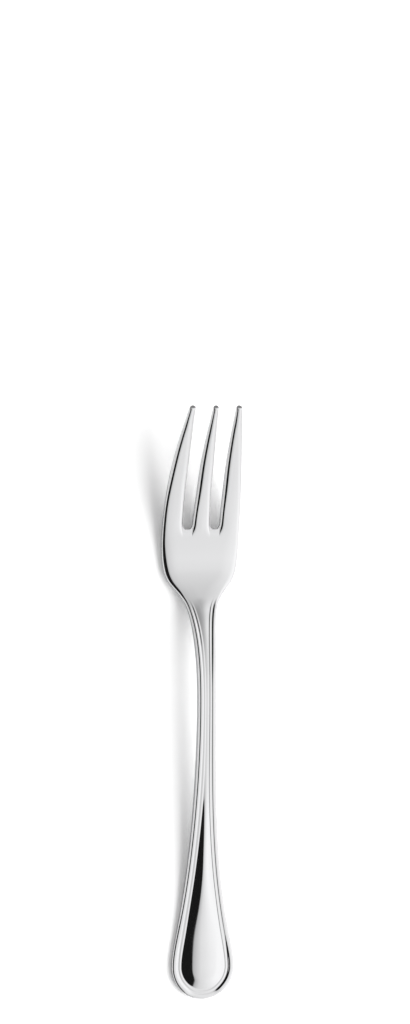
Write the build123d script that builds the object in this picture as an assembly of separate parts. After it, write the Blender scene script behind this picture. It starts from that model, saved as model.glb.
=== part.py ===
from build123d import *
import math
import os

# A pastry fork, stamped and bent from one sheet of stainless steel and mirror polished.
# It lies on its back: Y runs from the handle end to the tine tips, X is across, Z is up.
# The origin is under the middle of the fork, on the surface that it lies on.
# The one forging is written as six regions that meet face to face at plain cross sections.

# Plan sizes, in millimetres
LENGTH = 150.0
HANDLE_END_WIDTH = 16.4
NECK_WIDTH = 4.55
SHOULDER_WIDTH = 10.7
HEAD_WIDTH = 20.3
TIPS_WIDTH = 13.7

# Places along the fork, each measured back from the tine tips
NECK_FROM_TIPS = 74.0
SHOULDER_FROM_TIPS = 48.0
WIDEST_FROM_TIPS = 33.0
NECK_CREST_FROM_TIPS = 71.0
PALM_REST_FROM_TIPS = 40.5
SLOT_DEPTH = 31.0

# Sides of the plan: how far each curve keeps its direction at its two ends, as shares of its stretch
HANDLE_SIDE_PULL = (0.115, 0.75)
NECK_SIDE_PULL = (0.885, 0.06)
PALM_SIDE_PULL = (0.28, 0.79)
TINE_SIDE_PULL = (0.42, 0.29)
SHOULDER_SLOPE = 0.65
TINE_TIP_SLOPE = 0.2

# Back line, the side view of the underside, with the same kind of shares
HANDLE_FLAT_LENGTH = 13.0
NECK_RISE = 5.1
TIP_RISE = 16.0
TIP_SLOPE = 0.67
HANDLE_BACK_PULL = (0.4, 0.255)
NECK_BACK_PULL = (0.49, 0.39)
HEAD_BACK_PULL = (0.33, 0.32)

# Thicknesses, at the edge of the handle and of the palm
HANDLE_EDGE_THICKNESS = 1.35
NECK_THICKNESS = 2.3
PALM_THICKNESS = 1.95
TIP_THICKNESS = 1.15

# Relief of the front: a raised rim along the edge, a groove inside it and a domed panel
RIM_WIDTH_HANDLE = 2.45
RIM_WIDTH_NECK = 1.55
GROOVE_DEPTH_HANDLE = 0.15
GROOVE_DEPTH_NECK = 0.08
PANEL_RISE = 0.85
PANEL_FOOT_SLOPE = 0.3
PALM_CROWN = 0.1
RELIEF_END_FROM_TIPS = 48.0
RELIEF_FADE_LENGTH = 8.0

# Rounded edges
BACK_EDGE_ROUND = 0.35
FRONT_EDGE_ROUND_HEIGHT = 0.35
FRONT_EDGE_ROUND_WIDTH = 0.5

# Tines and slots
MIDDLE_TINE_ROOT_WIDTH = 4.5
MIDDLE_TINE_TIP_WIDTH = 1.5
SLOT_ROOT_WIDTH = 2.7
SLOT_TIP_WIDTH = 4.6
SLOT_ROOT_MARGIN = 0.7
SLOT_ROUND_RUN = 5.0
SLOT_ROUND_START = 0.1
TINE_CROWN = 0.1
TIP_CAP_LENGTH = 0.7

# How many cross sections shape each stretch, and where along a tip's cap they lie
HANDLE_SECTION_COUNT = 12
NECK_SECTION_COUNT = 9
SHOULDER_SECTION_COUNT = 9
TINE_SECTION_COUNT = 7
TIP_CAP_SHARES = (0.45, 0.75, 0.92, 0.985)

# Where the handle, neck and palm are parted, measured back from the tips
HANDLE_PARTING_FROM_TIPS = 95.0
NECK_PARTING_FROM_TIPS = 52.0

# Places along Y that follow from the sizes above
TIP_Y = LENGTH / 2
END_Y = -LENGTH / 2
END_RADIUS = HANDLE_END_WIDTH / 2
END_CENTRE_Y = END_Y + END_RADIUS
NECK_Y = TIP_Y - NECK_FROM_TIPS
SHOULDER_Y = TIP_Y - SHOULDER_FROM_TIPS
WIDEST_Y = TIP_Y - WIDEST_FROM_TIPS
NECK_CREST_Y = TIP_Y - NECK_CREST_FROM_TIPS
PALM_REST_Y = TIP_Y - PALM_REST_FROM_TIPS
HANDLE_FLAT_Y = END_Y + HANDLE_FLAT_LENGTH
RELIEF_END_Y = TIP_Y - RELIEF_END_FROM_TIPS
SLOT_CENTRE_Y = TIP_Y - SLOT_DEPTH + SLOT_ROOT_WIDTH / 2
ROOT_Y = SLOT_CENTRE_Y + SLOT_ROOT_MARGIN
HANDLE_PARTING_Y = TIP_Y - HANDLE_PARTING_FROM_TIPS
NECK_PARTING_Y = TIP_Y - NECK_PARTING_FROM_TIPS


def side_curve(start, stop, pull, start_slope=0.0, stop_slope=0.0):
    """Curve from one (Y, value) point to another that leaves and arrives at the given slopes."""
    stretch = stop[0] - start[0]
    leave = stretch * pull[0]
    arrive = stretch * pull[1]
    return [
        start,
        (start[0] + leave, start[1] + leave * start_slope),
        (stop[0] - arrive, stop[1] - arrive * stop_slope),
        stop,
    ]


# Right side of the plan, as curves of (Y, half width)
END_SIDE = (END_CENTRE_Y, END_RADIUS)
NECK_SIDE = (NECK_Y, NECK_WIDTH / 2)
SHOULDER_SIDE = (SHOULDER_Y, SHOULDER_WIDTH / 2)
WIDEST_SIDE = (WIDEST_Y, HEAD_WIDTH / 2)
TIP_SIDE = (TIP_Y, TIPS_WIDTH / 2)
PLAN_CURVES = [
    side_curve(END_SIDE, NECK_SIDE, HANDLE_SIDE_PULL),
    side_curve(NECK_SIDE, SHOULDER_SIDE, NECK_SIDE_PULL, stop_slope=SHOULDER_SLOPE),
    side_curve(SHOULDER_SIDE, WIDEST_SIDE, PALM_SIDE_PULL, start_slope=SHOULDER_SLOPE),
    side_curve(WIDEST_SIDE, TIP_SIDE, TINE_SIDE_PULL, stop_slope=-TINE_TIP_SLOPE),
]

# Back line, as curves of (Y, height), level where it touches the table and at the top of the neck
HANDLE_REST = (HANDLE_FLAT_Y, 0.0)
NECK_CREST = (NECK_CREST_Y, NECK_RISE)
PALM_REST = (PALM_REST_Y, 0.0)
TIP_BACK = (TIP_Y, TIP_RISE)
BACK_CURVES = [
    side_curve(HANDLE_REST, NECK_CREST, HANDLE_BACK_PULL),
    side_curve(NECK_CREST, PALM_REST, NECK_BACK_PULL),
    side_curve(PALM_REST, TIP_BACK, HEAD_BACK_PULL, stop_slope=TIP_SLOPE),
]


def curve_point(controls, share):
    """Point of a Bezier curve at a share of its run, by repeated division of its control lines."""
    points = list(controls)
    while len(points) > 1:
        points = [
            tuple(a + (b - a) * share for a, b in zip(first, second))
            for first, second in zip(points, points[1:])
        ]
    return points[0]


def curve_value(curves, y):
    """Second coordinate, at the place y, of a chain of curves that only go forward along Y."""
    y = min(max(y, curves[0][0][0]), curves[-1][-1][0])
    controls = next(curve for curve in curves if y <= curve[-1][0])
    low, high = 0.0, 1.0
    for _ in range(50):
        middle = (low + high) / 2
        if curve_point(controls, middle)[0] < y:
            low = middle
        else:
            high = middle
    return curve_point(controls, low)[1]


def mix(first, second, share):
    return first + (second - first) * share


def ease(y, start, stop):
    """Smooth rise from 0 at start to 1 at stop, level at both ends."""
    share = min(max((y - start) / (stop - start), 0.0), 1.0)
    return share ** 3 * (10 - 15 * share + 6 * share ** 2)


def half_width(y):
    return curve_value(PLAN_CURVES, y)


def back_height(y):
    return curve_value(BACK_CURVES, y)


def edge_thickness(y):
    """Thickness at the rim: thin at the handle end, full at the neck, in between at the palm."""
    along_handle = mix(HANDLE_EDGE_THICKNESS, NECK_THICKNESS, ease(y, END_CENTRE_Y, NECK_Y))
    return mix(along_handle, PALM_THICKNESS, ease(y, NECK_CREST_Y, PALM_REST_Y))


def half_profile(y):
    """Right half of the front, from the back's edge up the side and over to the middle, as curves.

    Each curve is a list of (x, z) control points. Rim and groove follow the width of the handle,
    and the relief runs out where the neck spreads into the palm.
    """
    width = half_width(y)
    back = back_height(y)
    crest = back + edge_thickness(y)
    breadth = min((2 * width - NECK_WIDTH) / (HANDLE_END_WIDTH - NECK_WIDTH), 1.0)
    relief = 1 - ease(y, RELIEF_END_Y - RELIEF_FADE_LENGTH, RELIEF_END_Y)
    groove_x = width - mix(RIM_WIDTH_NECK, RIM_WIDTH_HANDLE, breadth)
    depth = mix(GROOVE_DEPTH_NECK, GROOVE_DEPTH_HANDLE, breadth)
    dome = PANEL_RISE * groove_x / (END_RADIUS - RIM_WIDTH_HANDLE)
    groove_z = crest - depth * relief
    panel_z = crest + mix(PALM_CROWN, dome - depth, relief)
    crest_x = width - FRONT_EDGE_ROUND_WIDTH
    flank_run = (crest_x - groove_x) / 2
    foot_run = groove_x / 3
    foot_rise = min(foot_run * PANEL_FOOT_SLOPE, panel_z - groove_z)
    back_corner = [
        (width - BACK_EDGE_ROUND, back),
        (width, back),
        (width, back + BACK_EDGE_ROUND),
    ]
    side = [back_corner[-1], (width, crest - FRONT_EDGE_ROUND_HEIGHT)]
    front_corner = [side[-1], (width, crest), (crest_x, crest)]
    flank = [
        front_corner[-1],
        (crest_x - flank_run, crest),
        (groove_x + flank_run, groove_z),
        (groove_x, groove_z),
    ]
    panel = [
        flank[-1],
        (groove_x - foot_run, groove_z + foot_rise),
        (foot_run, panel_z),
        (0.0, panel_z),
    ]
    return [back_corner, side, front_corner, flank, panel]


def edge(controls, y):
    """One edge of a cross section, straight or curved, in the plane at y."""
    corners = [(x, y, z) for x, z in controls]
    if len(corners) == 2:
        return Line(*corners)
    return Bezier(*corners)


def mirrored(curves, centre=0.0):
    """The same curves on the other side of a centre line, so that the outline runs on."""
    return [[(2 * centre - x, z) for x, z in reversed(controls)] for controls in reversed(curves)]


def body_section(y):
    """Closed cross section of the handle, neck or palm at y."""
    right = half_profile(y)
    left = mirrored(right)
    back = [left[-1][-1], right[0][0]]
    return Wire([edge(controls, y) for controls in [back] + right + left])


def spaced(start, stop, count):
    """Evenly spaced places from start up to, but without, stop."""
    return [mix(start, stop, step / count) for step in range(count)]


def whole_body():
    """Handle without its round end, neck and palm, as one smooth run of cross sections."""
    places = spaced(END_CENTRE_Y, NECK_Y, HANDLE_SECTION_COUNT)
    places += spaced(NECK_Y, SHOULDER_Y, NECK_SECTION_COUNT)
    places += spaced(SHOULDER_Y, WIDEST_Y, SHOULDER_SECTION_COUNT)
    places += [WIDEST_Y, ROOT_Y]
    return Solid.make_loft([body_section(y) for y in places])


def round_end():
    """Round end of the handle: half of its cross section turned half round its centre."""
    right = half_profile(END_CENTRE_Y)
    foot = (0.0, back_height(END_CENTRE_Y))
    outline = [[foot, right[0][0]]] + right + [[right[-1][-1], foot]]
    face = Face(Wire([edge(controls, END_CENTRE_Y) for controls in outline]))
    axis = Axis((0, END_CENTRE_Y, 0), (0, 0, -1))
    return revolve(face, axis=axis, revolution_arc=180)


def slot_cutters():
    """Round slot roots, with straight mouths that run out past the palm."""
    height = 2 * (TIP_RISE + PALM_THICKNESS)
    from_root = (Align.CENTER, Align.MIN, Align.CENTER)
    cutters = []
    for side in (-1, 1):
        place = Pos(side * (MIDDLE_TINE_ROOT_WIDTH + SLOT_ROOT_WIDTH) / 2, SLOT_CENTRE_Y, 0)
        root = place * Cylinder(SLOT_ROOT_WIDTH / 2, height)
        mouth = place * Box(SLOT_ROOT_WIDTH, SLOT_DEPTH, height, align=from_root)
        cutters.append(root + mouth)
    return cutters


def tine_edges(y, side):
    """Left and right edge of a tine at y, without its rounded tip."""
    share = (y - ROOT_Y) / (TIP_Y - ROOT_Y)
    middle = mix(MIDDLE_TINE_ROOT_WIDTH, MIDDLE_TINE_TIP_WIDTH, share) / 2
    if side == 0:
        return -middle, middle
    inner = middle + mix(SLOT_ROOT_WIDTH, SLOT_TIP_WIDTH, share)
    outer = half_width(y)
    return (inner, outer) if side > 0 else (-outer, -inner)


def tine_corners(edge_x, outward, low, high, roundness, limit):
    """Back corner, side and front corner of one side of a tine, from the back to the front."""
    back_x = min(BACK_EDGE_ROUND * roundness, limit)
    front_x = min(FRONT_EDGE_ROUND_WIDTH * roundness, limit)
    back_z = min(BACK_EDGE_ROUND * roundness, (high - low) / 3)
    front_z = min(FRONT_EDGE_ROUND_HEIGHT * roundness, (high - low) / 3)
    return [
        [(edge_x - outward * back_x, low), (edge_x, low), (edge_x, low + back_z)],
        [(edge_x, low + back_z), (edge_x, high - front_z)],
        [(edge_x, high - front_z), (edge_x, high), (edge_x - outward * front_x, high)],
    ]


def tine_section(y, side, size):
    """Closed cross section of a tine: flat back, rounded edges, slightly crowned front.

    The edges along a slot are sharp in the slot's root and grow round away from it.
    """
    left_x, right_x = tine_edges(y, side)
    thickness = mix(PALM_THICKNESS, TIP_THICKNESS, ease(y, ROOT_Y, TIP_Y))
    centre = (left_x + right_x) / 2
    reach = (right_x - left_x) / 2 * size
    middle_z = back_height(y) + thickness / 2
    low = middle_z - thickness / 2 * size
    high = middle_z + thickness / 2 * size
    slot_round = mix(SLOT_ROUND_START, 1.0, ease(y, ROOT_Y, ROOT_Y + SLOT_ROUND_RUN))
    right_round = 1.0 if side > 0 else slot_round
    left_round = 1.0 if side < 0 else slot_round
    right = tine_corners(centre + reach, 1, low, high, right_round, reach / 2)
    left = tine_corners(centre - reach, -1, low, high, left_round, reach / 2)
    left = [list(reversed(controls)) for controls in reversed(left)]
    front = [right[-1][-1], (centre, high + 2 * TINE_CROWN * size), left[0][0]]
    back = [left[-1][-1], right[0][0]]
    return Wire([edge(controls, y) for controls in [back] + right + [front] + left])


def tine(side):
    """One tine, drawn from the palm towards its tip, with a rounded cap."""
    cap_start = TIP_Y - TIP_CAP_LENGTH
    cap_base = tine_section(cap_start, side, 1.0)
    blade = [tine_section(y, side, 1.0) for y in spaced(ROOT_Y, cap_start, TINE_SECTION_COUNT)]
    cap = [
        tine_section(mix(cap_start, TIP_Y, share), side, math.sqrt(1 - share ** 2))
        for share in TIP_CAP_SHARES
    ]
    return Solid.make_loft(blade + [cap_base]) + Solid.make_loft([cap_base] + cap, ruled=True)


def save(shape, name):
    export_step(shape, f"parts/{name}.step")


os.makedirs("parts", exist_ok=True)
body = whole_body()
handle_cut = Plane((0, HANDLE_PARTING_Y, 0), z_dir=(0, 1, 0))
neck_cut = Plane((0, NECK_PARTING_Y, 0), z_dir=(0, 1, 0))
grip = split(body, bisect_by=handle_cut, keep=Keep.BOTTOM)
stem_and_head = split(body, bisect_by=handle_cut, keep=Keep.TOP)
save(grip + round_end(), "handle")
save(split(stem_and_head, bisect_by=neck_cut, keep=Keep.BOTTOM), "neck")
save(split(stem_and_head, bisect_by=neck_cut, keep=Keep.TOP) - slot_cutters(), "palm")
save(tine(-1), "tine_left")
save(tine(0), "tine_middle")
save(tine(1), "tine_right")
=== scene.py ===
import math

import bpy
import numpy as np
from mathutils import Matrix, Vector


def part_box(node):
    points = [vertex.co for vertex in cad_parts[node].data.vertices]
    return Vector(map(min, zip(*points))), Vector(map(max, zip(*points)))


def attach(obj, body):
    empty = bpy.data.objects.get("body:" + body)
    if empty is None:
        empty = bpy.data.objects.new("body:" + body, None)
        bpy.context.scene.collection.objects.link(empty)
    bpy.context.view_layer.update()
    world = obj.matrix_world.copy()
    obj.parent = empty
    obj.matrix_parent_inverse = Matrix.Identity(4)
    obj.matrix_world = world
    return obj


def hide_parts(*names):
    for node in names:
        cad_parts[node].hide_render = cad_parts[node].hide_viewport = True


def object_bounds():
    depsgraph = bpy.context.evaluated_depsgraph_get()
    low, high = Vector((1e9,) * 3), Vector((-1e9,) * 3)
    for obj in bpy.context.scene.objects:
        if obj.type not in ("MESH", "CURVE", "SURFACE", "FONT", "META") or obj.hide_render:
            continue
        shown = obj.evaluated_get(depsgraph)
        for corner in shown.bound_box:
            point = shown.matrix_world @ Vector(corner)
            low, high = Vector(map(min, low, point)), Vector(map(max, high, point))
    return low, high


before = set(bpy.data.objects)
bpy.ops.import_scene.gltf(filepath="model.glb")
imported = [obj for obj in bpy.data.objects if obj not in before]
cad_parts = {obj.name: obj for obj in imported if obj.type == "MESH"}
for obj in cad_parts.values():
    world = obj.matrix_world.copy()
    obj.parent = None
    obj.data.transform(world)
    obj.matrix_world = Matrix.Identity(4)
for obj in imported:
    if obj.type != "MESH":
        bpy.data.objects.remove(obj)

cad_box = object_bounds()

# Handle
# The grip of the fork: a paddle of stainless steel with a round end, in one piece with the neck. It is
# rolled thin and coined in a die, so that a raised rim runs round its edge with a groove inside it and
# a domed panel in the middle.

# Sizes are in millimetres, and the mesh is made in metres. Y runs along the fork to the tips.
MM = 0.001
low_corner = np.array(cad_box[0]) / MM
high_corner = np.array(cad_box[1]) / MM
END_Y = low_corner[1]
TIP_Y = high_corner[1]
END_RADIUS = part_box("handle")[1].x / MM
END_CENTRE_Y = END_Y + END_RADIUS
HANDLE_CUT_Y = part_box("handle")[1].y / MM
NECK_CUT_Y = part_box("neck")[1].y / MM
ROOT_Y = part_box("palm")[1].y / MM
NECK_Y = 1.0
CREST_Y = 4.0
PALM_REST_Y = 34.5


def side_curve(start, stop, pull, start_slope=0.0, stop_slope=0.0):
    """Cubic curve from one (Y, value) point to another that leaves and arrives at the given slopes.

    The two pulls are the shares of the stretch for which it keeps its first and last direction.
    """
    stretch = stop[0] - start[0]
    leave = stretch * pull[0]
    arrive = stretch * pull[1]
    second = (start[0] + leave, start[1] + leave * start_slope)
    third = (stop[0] - arrive, stop[1] - arrive * stop_slope)
    return np.array([start, second, third, stop])


END_SIDE = (END_CENTRE_Y, END_RADIUS)
NECK_SIDE = (NECK_Y, 2.275)
SHOULDER_SIDE = (27.0, 5.35)
SHOULDER_SLOPE = 0.65
WIDEST_SIDE = (42.0, high_corner[0])
TIP_SIDE = (TIP_Y, 6.75)
OUTLINE = [
    side_curve(END_SIDE, NECK_SIDE, (0.115, 0.75)),
    side_curve(NECK_SIDE, SHOULDER_SIDE, (0.885, 0.06), stop_slope=SHOULDER_SLOPE),
    side_curve(SHOULDER_SIDE, WIDEST_SIDE, (0.28, 0.79), start_slope=SHOULDER_SLOPE),
    side_curve(WIDEST_SIDE, TIP_SIDE, (0.42, 0.29), stop_slope=-0.2),
]
FLAT_BACK = (END_Y + 13.0, 0.0)
CREST_BACK = (CREST_Y, 5.1)
PALM_BACK = (PALM_REST_Y, 0.0)
TIP_BACK = (TIP_Y, 16.0)
BACK_LINE = [
    side_curve(FLAT_BACK, CREST_BACK, (0.27, 0.25)),
    side_curve(CREST_BACK, PALM_BACK, (0.6, 0.4)),
    side_curve(PALM_BACK, TIP_BACK, (0.33, 0.36), stop_slope=0.6),
]


def curve_value(curves, y):
    """Value of a chain of cubic curves at the places y, held at its end values outside it.

    On each curve the share whose place is y is found by halving, and its value is read there.
    """
    y = np.clip(y, curves[0][0, 0], curves[-1][3, 0])
    value = np.zeros_like(y)
    for curve in curves:
        low, high = np.zeros_like(y), np.ones_like(y)
        for _ in range(45):
            share = (low + high) / 2
            rest = 1 - share
            weights = [rest**3, 3 * rest**2 * share, 3 * rest * share**2, share**3]
            place = sum(weight * point[0] for weight, point in zip(weights, curve))
            low = np.where(place < y, share, low)
            high = np.where(place < y, high, share)
        here = sum(weight * point[1] for weight, point in zip(weights, curve))
        value = np.where((y >= curve[0, 0]) & (y <= curve[3, 0]), here, value)
    return value


def half_width(y):
    """Half the fork's width at the places y, read from the chain of curves of its outline."""
    return curve_value(OUTLINE, y)


def back_line(y):
    """Height of the fork's back over the table at the places y, read from its chain of curves."""
    return curve_value(BACK_LINE, y)


def mix(first, second, share):
    """Value that passes evenly from the first to the second as the share goes from 0 to 1."""
    return first + (second - first) * share


def ease(y, start, stop):
    """Smooth rise from 0 at start to 1 at stop, the fifth-degree step, level at both ends."""
    share = np.clip((y - start) / (stop - start), 0, 1)
    return share**3 * (10 - 15 * share + 6 * share**2)


END_THICKNESS = 1.35
NECK_THICKNESS = 2.3
PALM_THICKNESS = 1.95
TIP_THICKNESS = 1.15


def thickness(y):
    """Thickness at the rim, easing from the handle end to the neck, on to the palm and to the tips."""
    grip = mix(END_THICKNESS, NECK_THICKNESS, ease(y, END_CENTRE_Y, NECK_Y))
    head = mix(grip, PALM_THICKNESS, ease(y, CREST_Y, PALM_REST_Y))
    return mix(head, TIP_THICKNESS, ease(y, ROOT_Y, TIP_Y))


def edge_lean(y):
    """Cosine of the angle between the outline and the fork's length, for true distances from the edge."""
    step = 0.05
    slope = (half_width(y + step) - half_width(y - step)) / (2 * step)
    return 1 / np.sqrt(1 + slope**2)


# Width and height of the rounded front edge: low at the handle's end, rounder along the handle, soft on
# the shoulders, crisp on the palm and full on the tines, each with the stretch where it takes over.
END_EDGE = (0.65, 0.24)
EDGE_CHANGES = [
    ((0.65, 0.44), (-62.0, -46.0)),
    ((1.4, 0.33), (24.0, 34.0)),
    ((0.95, 0.22), (33.0, 43.0)),
    ((1.3, 0.56), (48.0, 62.0)),
]


def front_round(y):
    """Width and height of the rounded front edge, eased from each stretch's pair to the next."""
    width, height = END_EDGE
    for (next_width, next_height), (start, stop) in EDGE_CHANGES:
        share = ease(y, start, stop)
        width = mix(width, next_width, share)
        height = mix(height, next_height, share)
    return width, height


def round_over(distance, width, height):
    """Fall of a rounded edge at a distance from it: a quarter ellipse of the given width and height."""
    share = 1 - np.clip(distance / width, 0, 1)
    return height * (1 - np.sqrt(1 - share**2))


def rim_width(y):
    """Width of the rim from the edge to the panel: 2.45 round the end, 2.1 on the handle.

    It is 1.9 at the neck's crest and 2.0 towards the palm.
    """
    rim = mix(2.45, 2.1, ease(y, END_CENTRE_Y, -46.0))
    return rim - 0.22 * ease(y, -28.0, 2.0) + 0.1 * ease(y, 4.0, 18.0)


def ease_area(place, start, stop):
    """Area under the smooth rise from its start to a place."""
    share = np.clip((place - start) / (stop - start), 0, 1)
    return (stop - start) * share**4 * (2.5 - 3 * share + share**2) + np.maximum(place - stop, 0)


# Shares of the rim's width, from the edge inwards: where the low band rises, and where the groove begins.
BAND_START = 0.58
BAND_STOP = 0.88
GROOVE_START = 0.86
# Distances from the middle line between which the panel's shoulder at the handle end turns down.
SHOULDER_TURN = (2.8, 4.4)


def coined_front(across, half, y, rim, dip=0.0):
    """Height of the die's relief over the rim's crest, at a distance across from the middle line.

    The rim is a double thread: it falls steeply from its crest, rises again along a low band and
    falls into the groove. The panel is a hyperbola, which is a rounded roof towards the neck and
    nearly a parabola at the handle end, where it is steeper near its edge. The higher of the two
    counts, with their crease rounded. The dip lowers the crest alone. Sizes change along the fork
    with the shares end, slim, arch and spread: at the end, towards the neck, on it and past it.
    """
    place = (half - across) / rim
    end = 1 - ease(y, END_CENTRE_Y, -58.0)
    slim = ease(y, -30.0, 0.0)
    arch = ease(y, 4.0, 18.0)
    spread = ease(y, 10.0, 20.0)
    # The fall from the crest, the rise of the band, the groove's depth, and where in the rim the fall lies.
    depth = 0.048 + 0.2 * end + 0.07 * ease(y, 2.0, 15.0)
    rise = 0.042 + 0.018 * end - 0.012 * slim + 0.036 * ease(y, 8.0, 20.0)
    groove = 0.036 + 0.008 * slim + 0.006 * spread
    middle = 0.5 + 0.04 * end + 0.05 * slim - 0.06 * arch
    reach = 0.1 + 0.09 * end + 0.04 * arch
    crest = mix(dip, depth, ease(place, middle - reach, middle + reach))
    thread = rise * ease(place, BAND_START, BAND_STOP) - groove * ease(place, GROOVE_START, 1.0) - crest
    foot = half - rim_width(y)
    slope = mix(0.28, 0.42, ease(y, -61.0, -46.0)) * (1 - 0.75 * ease(y, -44.0, -12.5)) + 0.045 * spread
    ridge = 0.6 + 4.0 * (1 - ease(y, -70.0, -40.0))
    peak = np.sqrt(1 + ridge**2)
    roof = slope * foot * peak * (peak - np.sqrt((across / foot) ** 2 + ridge**2))
    shoulder = ease_area(foot, *SHOULDER_TURN) - ease_area(across, *SHOULDER_TURN)
    panel = roof + 0.09 * end * shoulder + rise - groove - depth
    crease = 0.02
    return (thread + panel + np.hypot(thread - panel, crease)) / 2


# Shares of a rounded edge's width at its columns, closest together at the edge itself.
EDGE_SHARES = 1 - np.cos(np.linspace(0, np.pi / 2, 9))


def grip_columns(y):
    """Places across, from the left edge to the right, of the columns on the handle and neck.

    They are close together on the rounded edge, on the two threads and in the groove. Where these
    crowd each other on the shoulders, each keeps a least distance from the one before.
    """
    half = half_width(y)
    rim = rim_width(y)
    run = front_round(y)[0] / edge_lean(y)
    knots = np.stack([run, 0.6 * rim, GROOVE_START * rim, rim, rim + 0.25, half], axis=-1)
    least = 0.05 * np.arange(6)
    knots = np.maximum.accumulate(knots - least, axis=-1) + least
    parts = [run[:, None] * EDGE_SHARES]
    for index, count in enumerate((8, 8, 5, 5, 22)):
        shares = np.arange(1, count + 1) / count
        parts.append(mix(knots[:, index, None], knots[:, index + 1, None], shares))
    inset = np.concatenate(parts, axis=1)
    left = inset - half[:, None]
    return np.concatenate([left, -left[:, -2::-1]], axis=1)


def quads(points, flip=False):
    """Corner points of a grid's faces: each face spans two neighbouring rows and columns."""
    corners = [points[:-1, :-1], points[:-1, 1:], points[1:, 1:], points[1:, :-1]]
    if flip:
        corners.reverse()
    return np.stack(corners, axis=2).reshape(-1, 4, 3)


def between(first, second, steps=4):
    """Grid rows spread evenly from one line of points to another, as the last axis but one."""
    shares = np.linspace(0, 1, steps + 1)[:, None]
    return mix(first[..., None, :], second[..., None, :], shares)


def steel_piece(name, patches, cuts):
    """Mesh object of one region from its face corners, with corners that coincide joined.

    Faces that have shrunk to a triangle at a pole lose their double corner. Edges in the planes
    of the cuts are sharp, so that the flat cut doesn't bend the shading of the polished skin.
    """
    corners = np.concatenate(patches)
    keys = np.round(corners.reshape(-1, 3), 5)
    points, index = np.unique(keys, axis=0, return_inverse=True)
    index = index.reshape(-1, 4)
    following = np.roll(index, -1, axis=1)
    kept = index != following
    whole = kept.all(axis=1)
    pole = kept.sum(axis=1) == 3
    faces = index[whole].tolist() + index[pole][kept[pole]].reshape(-1, 3).tolist()
    mesh = bpy.data.meshes.new(name)
    mesh.from_pydata((points * MM).tolist(), [], faces)
    mesh.shade_smooth()
    ends = np.empty(len(mesh.edges) * 2, dtype=np.int32)
    mesh.edges.foreach_get("vertices", ends)
    place = points[ends.reshape(-1, 2), 1]
    sharp = np.zeros(len(place), dtype=bool)
    for cut in cuts:
        sharp |= (np.abs(place - cut) < 1e-4).all(axis=1)
    mesh.attributes.new("sharp_edge", "BOOLEAN", "EDGE").data.foreach_set("value", sharp)
    piece = bpy.data.objects.new(name, mesh)
    bpy.context.scene.collection.objects.link(piece)
    return piece


def back_round(y):
    """Width and height of the rounded back edge, which is softer on the palm."""
    soft = ease(y, 14.0, 30.0)
    return mix(0.4, 0.7, soft), mix(0.35, 1.2, soft)


# The stretch along the neck where the coined relief dies out.
RELIEF_FADE = (23.0, 27.5)


def grip_skin(y):
    """Front and back of the handle or neck on a grid, as two arrays of points."""
    x = grip_columns(y)
    rows = np.repeat(y[:, None], x.shape[1], axis=1)
    half = half_width(rows)
    across = np.abs(x)
    distance = (half - across) * edge_lean(rows)
    relief = 1 - ease(rows, *RELIEF_FADE)
    crest = back_line(rows) + thickness(rows)
    coined = coined_front(across, half, rows, rim_width(rows))
    front = crest + relief * coined - round_over(distance, *front_round(rows))
    back = back_line(rows) + round_over(distance, *back_round(rows))
    return np.stack([x, rows, front], axis=-1), np.stack([x, rows, back], axis=-1)


def grip_patches(y):
    """Faces of the front, back and both sides of the handle or neck."""
    front, back = grip_skin(y)
    right = between(front[:, -1], back[:, -1])
    left = between(front[:, 0], back[:, 0])
    return [quads(front), quads(back, flip=True), quads(right), quads(left, flip=True)]


def cut_face(front_row, back_row, towards_tips):
    """Flat face of a cross section, from its front line to its back line."""
    return quads(np.swapaxes(between(front_row, back_row), 0, 1), flip=not towards_tips)


# Towards the very end the rim narrows and its crest sinks, each between two angles from the handle's sides.
END_NARROWING = 0.3
NARROWING_ANGLES = (30.0, 80.0)
END_DIP = 0.19
DIP_ANGLES = (46.0, 72.0)
END_ROWS = 73


def round_end():
    """Faces of the handle's round end: its middle cross section turned half a turn about its centre.

    Towards the very end the rim grows narrower and its crest sinks to the height of the band.
    """
    back = grip_skin(np.array([END_CENTRE_Y]))[1]
    count = back.shape[1] // 2 + 1
    turn = np.linspace(0, np.pi, END_ROWS)[:, None]
    radius = np.broadcast_to(-back[0, :count, 0], (END_ROWS, count))
    middle = np.full_like(radius, END_CENTRE_Y)
    x = radius * np.cos(turn)
    y = END_CENTRE_Y - radius * np.sin(turn)
    from_side = np.degrees(np.minimum(turn, np.pi - turn))
    rim = rim_width(middle) - END_NARROWING * ease(from_side, *NARROWING_ANGLES)
    dip = END_DIP * ease(from_side, *DIP_ANGLES)
    coined = coined_front(radius, END_RADIUS, middle, rim, dip)
    crest = back_line(middle) + thickness(middle)
    edge = round_over(END_RADIUS - radius, *front_round(middle))
    top = np.stack([x, y, crest + coined - edge], axis=-1)
    under = np.stack([x, y, np.broadcast_to(back[0, :count, 2], x.shape)], axis=-1)
    side = between(top[:, 0], under[:, 0])
    return [quads(top), quads(under, flip=True), quads(side, flip=True)]


HANDLE_ROWS = 110
handle_y = np.linspace(END_CENTRE_Y, HANDLE_CUT_Y, HANDLE_ROWS)
handle_front, handle_back = grip_skin(handle_y[-1:])
handle = steel_piece(
    "handle_skin",
    grip_patches(handle_y) + round_end() + [cut_face(handle_front[0], handle_back[0], True)],
    [HANDLE_CUT_Y],
)


# Stainless steel, polished to a mirror on a soft wheel. It takes its look from what it reflects, with
# a faint haze and the finest polishing lines along the fork. Looked at along its surface its colour is
# painted greyer, a painted shade, as if it mirrored a dim studio beyond the tent that the scene doesn't
# hold.
def linear(hex_colour):
    """Linear colour of an sRGB hex value: each part by the sRGB curve."""
    parts = [int(hex_colour[start:start + 2], 16) / 255 for start in (1, 3, 5)]
    return [part / 12.92 if part <= 0.04045 else ((part + 0.055) / 1.055) ** 2.4 for part in parts] + [1.0]


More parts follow.
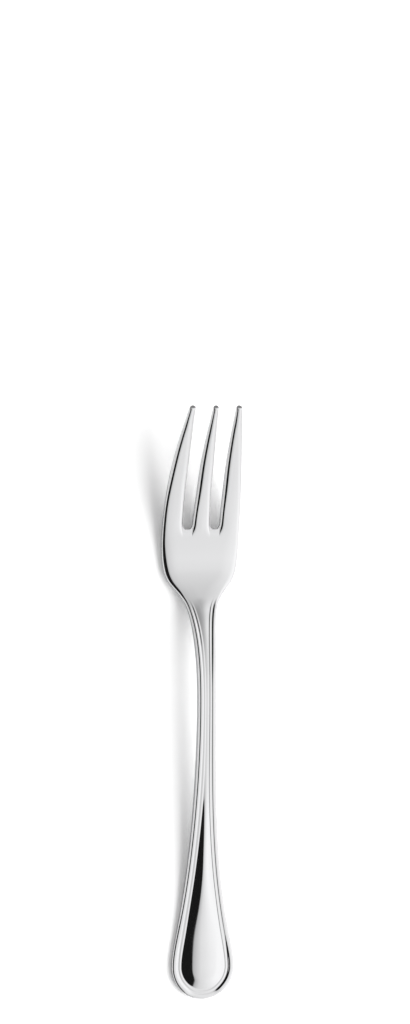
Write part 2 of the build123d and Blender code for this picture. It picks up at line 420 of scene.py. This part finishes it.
def add_node(tree, kind, links=(), values=(), **settings):
    """New node with its settings, its input values by name or number, and links into its inputs."""
    node = tree.nodes.new(kind)
    for name, value in settings.items():
        setattr(node, name, value)
    for key, value in dict(values).items():
        node.inputs[key].default_value = value
    for key, output in dict(links).items():
        tree.links.new(output, node.inputs[key])
    return node


steel = bpy.data.materials.new("polished_stainless_steel")
steel.use_nodes = True
steel_tree = steel.node_tree
steel_shader = steel_tree.nodes["Principled BSDF"]
steel_shader.inputs["Metallic"].default_value = 1.0
# Painted shade: the base colour passes to a darker grey where the surface is seen at a slant.
steel_slant = add_node(steel_tree, "ShaderNodeLayerWeight", values={"Blend": 0.5})
steel_painted_shade_share = add_node(
    steel_tree,
    "ShaderNodeMapRange",
    {"Value": steel_slant.outputs["Facing"]},
    {"From Min": 0.56, "From Max": 0.8},
)
steel_tone_and_painted_shade = add_node(
    steel_tree,
    "ShaderNodeMix",
    {"Factor": steel_painted_shade_share.outputs["Result"]},
    {"A": linear("#E0E0E1"), "B": linear("#7C7C80")},
    data_type="RGBA",
)
steel_tree.links.new(steel_tone_and_painted_shade.outputs["Result"], steel_shader.inputs["Base Color"])
steel_place = add_node(steel_tree, "ShaderNodeTexCoord").outputs["Object"]
# The haze comes in patches 4 mm wide.
HAZE_PATCH = 4.0
haze = add_node(
    steel_tree,
    "ShaderNodeTexNoise",
    {"Vector": steel_place},
    {"Scale": 1 / (HAZE_PATCH * MM), "Detail": 3.0},
)
haze_roughness = add_node(
    steel_tree, "ShaderNodeMapRange", {"Value": haze.outputs["Fac"]}, {"To Min": 0.045, "To Max": 0.085}
)
steel_tree.links.new(haze_roughness.outputs["Result"], steel_shader.inputs["Roughness"])
# The lines of the polishing wheel lie about 0.15 mm apart and run several millimetres. Real ones are
# finer, too fine for any picture of the whole fork.
along_fork = add_node(
    steel_tree, "ShaderNodeMapping", {"Vector": steel_place}, {"Scale": (6500.0, 160.0, 6500.0)}
)
lines = add_node(
    steel_tree,
    "ShaderNodeTexNoise",
    {"Vector": along_fork.outputs["Vector"]},
    {"Scale": 1.0, "Detail": 2.0},
)
polish = add_node(
    steel_tree, "ShaderNodeBump", {"Height": lines.outputs["Fac"]}, {"Strength": 1.0, "Distance": 4e-7}
)
steel_tree.links.new(polish.outputs["Normal"], steel_shader.inputs["Normal"])


def finish_piece(piece, *nodes):
    """Steel finish, body and CAD nodes of a region."""
    piece.data.materials.append(steel)
    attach(piece, "root")
    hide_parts(*nodes)


finish_piece(handle, "handle")

# Neck
# The slim steel stem between handle and head, in one piece with both and bent into an arch clear of the
# table. The rims of the handle run on along both of its edges and die out where it spreads into the palm.
NECK_ROWS = 130
neck_y = np.linspace(HANDLE_CUT_Y, NECK_CUT_Y, NECK_ROWS)
neck_front, neck_back = grip_skin(neck_y[[0, -1]])
neck = steel_piece(
    "neck_skin",
    grip_patches(neck_y)
    + [cut_face(neck_front[0], neck_back[0], False), cut_face(neck_front[1], neck_back[1], True)],
    [HANDLE_CUT_Y, NECK_CUT_Y],
)
finish_piece(neck, "neck")

# Palm
# The broad steel plate of the head, in one piece with the neck and the tines. It is slightly crowned and
# dished towards the tines, with soft edges and the round roots of the slots that part them.
SLOT_X = 3.6
SLOT_RADIUS = 1.35
SLOT_ROOT_Y = 44.0
SLOT_CENTRE_Y = SLOT_ROOT_Y + SLOT_RADIUS
SLOT_TIP_INNER = 0.67
SLOT_TIP_OUTER = 5.33
INNER_FULLNESS = 0.19
OUTER_FULLNESS = 0.15


def slot_sides(y):
    """Inner and outer side of the right slot: round at the root, then widening to the tips.

    It is a little narrower along the middle of the tines, which are full there. Behind the root both
    sides are the slot's middle line.
    """
    share = np.clip((y - ROOT_Y) / (TIP_Y - ROOT_Y), 0, 1)
    fullness = ease(y, 50.0, 63.0) * (1 - ease(y, 66.0, 75.0))
    inner = mix(SLOT_X - SLOT_RADIUS, SLOT_TIP_INNER, share) + INNER_FULLNESS * fullness
    outer = mix(SLOT_X + SLOT_RADIUS, SLOT_TIP_OUTER, share) - OUTER_FULLNESS * fullness
    depth = np.clip(SLOT_CENTRE_Y - y, 0, SLOT_RADIUS)
    reach = np.sqrt(SLOT_RADIUS**2 - depth**2)
    rounded = y < SLOT_CENTRE_Y
    inner = np.where(rounded, SLOT_X - reach, inner)
    outer = np.where(rounded, SLOT_X + reach, outer)
    return inner, outer


def flute_distance(x, y):
    """Distance from the nearer slot's straight sides, which run on below its root as a flute."""
    inner, outer = slot_sides(np.maximum(y, SLOT_CENTRE_Y))
    return np.maximum(np.abs(np.abs(x) - (inner + outer) / 2) - (outer - inner) / 2, 0)


def slot_distance(x, y):
    """Distance of the metal from the nearer slot's edge, round about the root and straight along it."""
    round_root = np.hypot(np.abs(x) - SLOT_X, y - SLOT_CENTRE_Y) - SLOT_RADIUS
    return np.where(y < SLOT_CENTRE_Y, np.maximum(round_root, 0), flute_distance(x, y))


def strip_edges(y, side):
    """Left and right edge of the left (-1), middle (0) or right (1) strip of the head."""
    inner, outer = slot_sides(y)
    half = half_width(y)
    if side == 0:
        return -inner, inner
    return (outer, half) if side > 0 else (-half, -outer)


def slot_round(y):
    """Width and height of the rounded front edge along a slot, fuller between the tines."""
    full = ease(y, 46.0, 58.0)
    return mix(1.0, 1.4, full), mix(0.49, 0.52, full)


# The part of a strip's width that a rounded edge may take: in front along the outline and along a slot,
# and on the back, where the columns of the grid take as much.
OUTER_ROOM = 0.5
SLOT_ROOM = 0.58
BACK_ROOM = 0.46


def soft_edge(y, side, width, room):
    """Width of a rounded edge, up to a part of the tine's own width."""
    left, right = strip_edges(np.maximum(y, SLOT_CENTRE_Y), side)
    return np.minimum(width, room * (right - left))


def crown(distance, width, slope):
    """Fall of the gently crowned face towards an edge: a parabola of the given width and edge slope."""
    return slope / 2 * width * np.clip(1 - distance / width, 0, 1) ** 2


FLOOR_SHARES = np.array([0.0, 0.4, 0.75, 0.95])


def strip_columns(y, side):
    """Places across of the columns of one strip, close together along both of its edges.

    Beside a slot, four more columns cross the floor of the flute and close up where the slot begins.
    """
    left, right = (edge[:, None] for edge in strip_edges(y, side))
    flute_inner, flute_outer = (edge[:, None] for edge in slot_sides(np.maximum(y, SLOT_CENTRE_Y)))
    left_wall = (left, -flute_inner, flute_outer)[side + 1]
    right_wall = (-flute_outer, flute_inner, right)[side + 1]
    room = BACK_ROOM * (right_wall - left_wall)
    outer_edge = np.minimum(front_round(y)[0][:, None], room) * EDGE_SHARES
    slot_edge = np.minimum(slot_round(y)[0][:, None], room) * EDGE_SHARES
    first = left_wall + (slot_edge if side >= 0 else outer_edge)
    last = right_wall - (slot_edge if side <= 0 else outer_edge)[:, ::-1]
    columns = [first, mix(first[:, -1:], last[:, :1], np.arange(1, 16) / 16), last]
    if side >= 0:
        columns.insert(0, mix(left, left_wall, FLOOR_SHARES))
    if side <= 0:
        columns.append(mix(right, right_wall, FLOOR_SHARES)[:, ::-1])
    return np.concatenate(columns, axis=1)


# The column of the neck at which each strip starts, where neighbouring strips share one column, and the
# place along the fork from which each strip has columns of its own.
STRIP_STARTS = (0, 36, 76)
OWN_COLUMNS_Y = 38.0


def head_columns(y, side):
    """Columns of a strip, moved over from the neck's columns where the neck spreads into the palm."""
    own = strip_columns(y, side)
    start = STRIP_STARTS[side + 1]
    from_grip = grip_columns(y)[:, start:start + own.shape[1]]
    return mix(from_grip, own, ease(y, NECK_CUT_Y, OWN_COLUMNS_Y)[:, None])


PALM_CROWN_WIDTH = 4.2
PALM_CROWN_SLOPE = 0.12
TINE_CROWN_SLOPE = 0.05
# Stretches along the head: where the flute fades in, where the crown passes from the palm's to the tines',
# where it flattens, and where the rounding of the back grows shallower, as shares of the thickness.
FLUTE_FADE = (SLOT_ROOT_Y - 2.4, SLOT_CENTRE_Y + 1.2)
PARTING = (36.0, 48.0)
CROWN_FADE = (50.0, 66.0)
BACK_FADE = (46.0, 60.0)
PALM_BACK_SHARE = 0.55
TINE_BACK_SHARE = 0.3


def head_skin(y, side):
    """Front and back of one strip of the head on a grid, as two arrays of points.

    From the height of the crest, with the neck's relief dying out, the crowns and the rounded edges
    along the outline and along the slots are taken off. The flute fades in below the slot's root.
    """
    x = head_columns(y, side)
    rows = np.repeat(y[:, None], x.shape[1], axis=1)
    along_slot = np.maximum(rows, SLOT_CENTRE_Y)
    half = half_width(rows)
    across = np.abs(x)
    distance = (half - across) * edge_lean(rows)
    gap = flute_distance(x, rows)
    flute = ease(rows, *FLUTE_FADE)
    left, right = strip_edges(along_slot, side)
    parted = ease(rows, *PARTING)
    outer_crown = mix(PALM_CROWN_WIDTH, (right - left) / 2, parted)
    slot_crown = mix(PALM_CROWN_WIDTH, slot_sides(along_slot)[0], parted)
    slope = mix(PALM_CROWN_SLOPE, TINE_CROWN_SLOPE, ease(rows, *CROWN_FADE))
    outer_width, outer_height = front_round(rows)
    outer_edge = soft_edge(rows, side, outer_width, OUTER_ROOM)
    slot_width, slot_height = slot_round(rows)
    slot_edge = soft_edge(rows, side, slot_width, SLOT_ROOM)
    relief = 1 - ease(rows, *RELIEF_FADE)
    coined = coined_front(across, half, rows, rim_width(rows))
    front = back_line(rows) + thickness(rows) + relief * coined
    front -= (1 - relief) * crown(distance, outer_crown, slope)
    front -= flute * crown(gap, slot_crown, slope)
    front -= round_over(distance, outer_edge, outer_height * outer_edge / outer_width)
    front -= round_over(gap, slot_edge, slot_height * flute * slot_edge / slot_width)
    back_width, back_height = back_round(rows)
    back_width = soft_edge(rows, side, back_width, BACK_ROOM)
    back_share = mix(PALM_BACK_SHARE, TINE_BACK_SHARE, ease(rows, *BACK_FADE))
    back_height = np.minimum(back_height, back_share * thickness(rows))
    back = back_line(rows) + round_over(distance, back_width, back_height)
    back += round_over(slot_distance(x, rows), back_width, back_height)
    return np.stack([x, rows, front], axis=-1), np.stack([x, rows, back], axis=-1)


# Rows of the grid, close together on both sides of the slot's root.
ROOT_REACH = 1.1
PALM_ROWS = 75
ROUND_ROWS = 15
root_turn = np.linspace(0, np.pi / 2, ROUND_ROWS)[1:]
palm_y = np.concatenate([
    np.linspace(NECK_CUT_Y, SLOT_ROOT_Y - ROOT_REACH, PALM_ROWS),
    SLOT_ROOT_Y - ROOT_REACH * (1 - np.sin(root_turn)),
    SLOT_CENTRE_Y - SLOT_RADIUS * np.cos(root_turn),
    np.linspace(SLOT_CENTRE_Y, ROOT_Y, 4)[1:],
])
slotted = palm_y >= SLOT_ROOT_Y - 1e-9
palm_patches = []
for side in (-1, 0, 1):
    front, back = head_skin(palm_y, side)
    left_rows = slotted if side >= 0 else slice(None)
    right_rows = slotted if side <= 0 else slice(None)
    palm_patches += [
        quads(front),
        quads(back, flip=True),
        quads(between(front[left_rows, 0], back[left_rows, 0]), flip=True),
        quads(between(front[right_rows, -1], back[right_rows, -1])),
        cut_face(front[0], back[0], False),
        cut_face(front[-1], back[-1], True),
    ]
palm = steel_piece("palm_skin", palm_patches, [NECK_CUT_Y, ROOT_Y])
finish_piece(palm, "palm")

# Tines
# Three tapering steel prongs, in one piece with the palm and bent upwards with it. Their sides are ground
# round at the tips, and their fronts are bevelled there.
TIP_LENGTH = 0.7
BEVEL_LENGTH = 0.85
BEVEL_SLOPE = 0.6
BEVEL_EDGE = 0.06
TINE_ROWS = 90


def tine_skin(side):
    """Front and back of a tine. At the tip its width shrinks along a quarter circle to nothing.

    Its rounded edges shrink with it. The front falls along the bevel, with the edge where the bevel
    begins rounded.
    """
    turn = np.linspace(0, np.pi / 2, ROUND_ROWS)[1:]
    start = TIP_Y - TIP_LENGTH
    shaft_y = np.linspace(ROOT_Y, start, TINE_ROWS)
    y = np.concatenate([shaft_y, start + TIP_LENGTH * np.sin(turn)])
    size = np.concatenate([np.ones_like(shaft_y), np.cos(turn)])[:, None]
    size[-1] = 0
    front, back = head_skin(y, side)
    left, right = strip_edges(y, side)
    middle_x = ((left + right) / 2)[:, None]
    under = back_line(y)[:, None]
    crest = under + thickness(y)[:, None]
    for skin, middle_z in ((front, crest), (back, under)):
        skin[..., 0] = middle_x + (skin[..., 0] - middle_x) * size
        skin[..., 2] = middle_z + (skin[..., 2] - middle_z) * size
    bevel_y = np.array([TIP_Y - BEVEL_LENGTH])
    bevel = back_line(bevel_y) + thickness(bevel_y) - BEVEL_SLOPE * (front[..., 1] - bevel_y)
    front[..., 2] = (front[..., 2] + bevel - np.hypot(front[..., 2] - bevel, BEVEL_EDGE)) / 2
    return front, back


for side, name in ((-1, "left"), (0, "middle"), (1, "right")):
    front, back = tine_skin(side)
    tine = steel_piece(
        f"tine_{name}_skin",
        [
            quads(front),
            quads(back, flip=True),
            quads(between(front[:, 0], back[:, 0]), flip=True),
            quads(between(front[:, -1], back[:, -1])),
            cut_face(front[0], back[0], False),
        ],
        [ROOT_Y],
    )
    finish_piece(tine, f"tine_{name}")

# Table
# A white studio table top, which takes the fork's soft shadow. It lies a hair below the fork, so that
# no two faces coincide. Its sizes and those of the studio are in metres.
TABLE_Z = -0.02 * MM
TABLE_HALF = 3
table_mesh = bpy.data.meshes.new("table_top")
table_corners = [
    (-TABLE_HALF, -TABLE_HALF, TABLE_Z),
    (TABLE_HALF, -TABLE_HALF, TABLE_Z),
    (TABLE_HALF, TABLE_HALF, TABLE_Z),
    (-TABLE_HALF, TABLE_HALF, TABLE_Z),
]
table_mesh.from_pydata(table_corners, [], [(0, 1, 2, 3)])
table = bpy.data.objects.new("table_top", table_mesh)
bpy.context.scene.collection.objects.link(table)
# White paper, dull and smooth. A little glow for the camera alone, stronger away from the fork, makes
# it the white of a studio table without more light on the fork. Seen from low down its colour is painted
# greyer, a painted shade, so that the bright steel stands out from it.
paper = bpy.data.materials.new("white_paper")
paper.use_nodes = True
paper_tree = paper.node_tree
paper_shader = paper_tree.nodes["Principled BSDF"]
paper_shader.inputs["Roughness"].default_value = 1.0
paper_shader.inputs["Specular IOR Level"].default_value = 0.0
paper_ray = add_node(paper_tree, "ShaderNodeLightPath")
# Painted shade: for the camera the paper's colour passes to grey where it is seen at a slant.
paper_slant = add_node(paper_tree, "ShaderNodeLayerWeight", values={"Blend": 0.5})
paper_low = add_node(
    paper_tree,
    "ShaderNodeMapRange",
    {"Value": paper_slant.outputs["Facing"]},
    {"From Min": 0.3, "From Max": 0.75},
)
paper_painted_shade = add_node(
    paper_tree,
    "ShaderNodeMath",
    {0: paper_ray.outputs["Is Camera Ray"], 1: paper_low.outputs["Result"]},
    operation="MULTIPLY",
)
paper_white_and_painted_shade = add_node(
    paper_tree,
    "ShaderNodeMix",
    {"Factor": paper_painted_shade.outputs[0]},
    {"A": linear("#FCFCFC"), "B": linear("#BCBCBC")},
    data_type="RGBA",
)
paper_tree.links.new(paper_white_and_painted_shade.outputs["Result"], paper_shader.inputs["Base Color"])
paper_place = add_node(paper_tree, "ShaderNodeTexCoord").outputs["Object"]
paper_reach = add_node(paper_tree, "ShaderNodeVectorMath", {0: paper_place}, operation="LENGTH")
paper_white = add_node(
    paper_tree,
    "ShaderNodeMapRange",
    {"Value": paper_reach.outputs["Value"]},
    {"From Min": 0.12, "From Max": 0.45, "To Min": 0.06, "To Max": 1.0},
)
paper_glow = add_node(
    paper_tree,
    "ShaderNodeMath",
    {0: paper_ray.outputs["Is Camera Ray"], 1: paper_white.outputs["Result"]},
    operation="MULTIPLY",
)
paper_tree.links.new(paper_glow.outputs[0], paper_shader.inputs["Emission Strength"])
table.data.materials.append(paper)

# Light
# A white tent, open in a long slit above the fork, through which the camera looks down. The slit is
# dark, and so the polished steel shows it as a black line along every edge that leans to the left.
# A broad softbox on the right lights the table.
# Glow of the tent across the fork, by degrees from plumb to the left.
ACROSS_GLOW = [
    (-90, 0.6), (-80, 0.88), (-73, 1.09), (-66, 1.2), (-57, 1.24), (-44, 1.28), (-28, 1.19), (-18, 1.1),
    (-13, 1.06), (-9.5, 0.95), (-6, 0.84), (-4, 0.76), (-1, 0.675), (1, 0.012), (31, 0.012), (33, 1.05),
    (50, 1.0), (70, 0.87), (90, 0.68),
]
GLOW_PEAK = 1.28
# Its share along the fork, by degrees from plumb towards the tips: the first overhead and on the left,
# the second low on the right.
ALONG_GLOW = [
    (-90, 0.78), (-55, 0.8), (-45, 0.84), (-35, 0.87), (-20, 0.895), (-7, 0.935), (0, 0.9), (4, 0.835),
    (14, 0.75), (28, 0.66), (40, 0.43), (60, 0.2), (75, 0.5), (90, 0.7),
]
RIGHT_GLOW = [
    (-90, 0.8), (-60, 0.88), (-44, 0.86), (-28, 1.0), (30, 1.0), (44, 0.4), (60, 0.18), (75, 0.5),
    (90, 0.7),
]
world = bpy.data.worlds.new("white_tent")
world.use_nodes = True
tent = world.node_tree
tent.nodes.clear()
direction = add_node(tent, "ShaderNodeTexCoord").outputs["Generated"]
part = add_node(tent, "ShaderNodeSeparateXYZ", {0: direction})
leftward = add_node(tent, "ShaderNodeMath", {0: part.outputs["X"]}, {1: -1.0}, operation="MULTIPLY")
lean = add_node(
    tent, "ShaderNodeMath", {0: leftward.outputs[0], 1: part.outputs["Z"]}, operation="ARCTAN2"
)
forward = add_node(tent, "ShaderNodeMath", {0: part.outputs["Y"]}, operation="ARCSINE")
half_turn = {"From Min": math.radians(-90), "From Max": math.radians(90)}
lean_share = add_node(tent, "ShaderNodeMapRange", {"Value": lean.outputs[0]}, half_turn)
forward_share = add_node(tent, "ShaderNodeMapRange", {"Value": forward.outputs[0]}, half_turn)
across_ramp = add_node(tent, "ShaderNodeValToRGB", {"Fac": lean_share.outputs["Result"]})
along_ramp = add_node(tent, "ShaderNodeValToRGB", {"Fac": forward_share.outputs["Result"]})
right_ramp = add_node(tent, "ShaderNodeValToRGB", {"Fac": forward_share.outputs["Result"]})
ramps = [
    (across_ramp, ACROSS_GLOW, GLOW_PEAK),
    (along_ramp, ALONG_GLOW, 1.0),
    (right_ramp, RIGHT_GLOW, 1.0),
]
for ramp, glows, peak in ramps:
    stops = ramp.color_ramp.elements
    while len(stops) < len(glows):
        stops.new(0.5)
    for stop, (degrees, glow) in zip(stops, glows):
        stop.position = (degrees + 90) / 180
        stop.color = [glow / peak] * 3 + [1.0]
overhead = add_node(
    tent,
    "ShaderNodeMapRange",
    {"Value": lean.outputs[0]},
    {"From Min": math.radians(-52), "From Max": math.radians(-16)},
)
along_glow = add_node(
    tent,
    "ShaderNodeMix",
    {
        "Factor": overhead.outputs["Result"],
        "A": right_ramp.outputs["Color"],
        "B": along_ramp.outputs["Color"],
    },
)
tent_glow = add_node(
    tent,
    "ShaderNodeMath",
    {0: across_ramp.outputs["Color"], 1: along_glow.outputs["Result"]},
    operation="MULTIPLY",
)
tent_strength = add_node(
    tent, "ShaderNodeMath", {0: tent_glow.outputs[0]}, {1: GLOW_PEAK}, operation="MULTIPLY"
)
# The steel mirrors the tent, all else takes an even light from it, and the camera sees plain white.
tent_white = {"Color": linear("#FFFFFF")}
tent_cloth = add_node(tent, "ShaderNodeBackground", {"Strength": tent_strength.outputs[0]}, tent_white)
tent_light = add_node(tent, "ShaderNodeBackground", values={**tent_white, "Strength": 0.53})
backdrop = add_node(tent, "ShaderNodeBackground", values=tent_white)
tent_ray = add_node(tent, "ShaderNodeLightPath")
mirrored = add_node(
    tent,
    "ShaderNodeMixShader",
    {0: tent_ray.outputs["Is Glossy Ray"], 1: tent_light.outputs[0], 2: tent_cloth.outputs[0]},
)
seen = add_node(
    tent,
    "ShaderNodeMixShader",
    {0: tent_ray.outputs["Is Camera Ray"], 1: mirrored.outputs[0], 2: backdrop.outputs[0]},
)
add_node(tent, "ShaderNodeOutputWorld", {"Surface": seen.outputs[0]})
bpy.context.scene.world = world

# The softbox stands a metre from the fork and faces it.
softbox_light = bpy.data.lights.new("softbox", "AREA")
softbox_light.size = 1.4
softbox_light.energy = 24.0
softbox = bpy.data.objects.new("softbox", softbox_light)
softbox_lean = math.radians(57.0)
softbox_turn = math.radians(-15.0)
softbox.location = (
    math.sin(softbox_lean) * math.cos(softbox_turn),
    math.sin(softbox_lean) * math.sin(softbox_turn),
    math.cos(softbox_lean),
)
softbox.rotation_euler = (0.0, softbox_lean, softbox_turn)
softbox.visible_glossy = False
softbox.visible_camera = False
bpy.context.scene.collection.objects.link(softbox)

# Camera
# It looks down on the fork from the left, a little off plumb, with a long lens.
CAMERA_DISTANCE = 867.06
AIM_X = 1.985
AIM_Y = 48.417
camera_lean = math.radians(17.5)
camera_turn = math.radians(-0.512)
camera_data = bpy.data.cameras.new("camera")
camera_data.sensor_width = 36.0
camera_data.lens = 120.0
camera = bpy.data.objects.new("camera", camera_data)
camera.location = (
    (AIM_X - CAMERA_DISTANCE * math.sin(camera_lean)) * MM,
    AIM_Y * MM,
    CAMERA_DISTANCE * math.cos(camera_lean) * MM,
)
camera.rotation_mode = "ZYX"
camera.rotation_euler = (0.0, -camera_lean, camera_turn)
bpy.context.scene.collection.objects.link(camera)
bpy.context.scene.camera = camera
bpy.context.scene.view_settings.view_transform = "Standard"
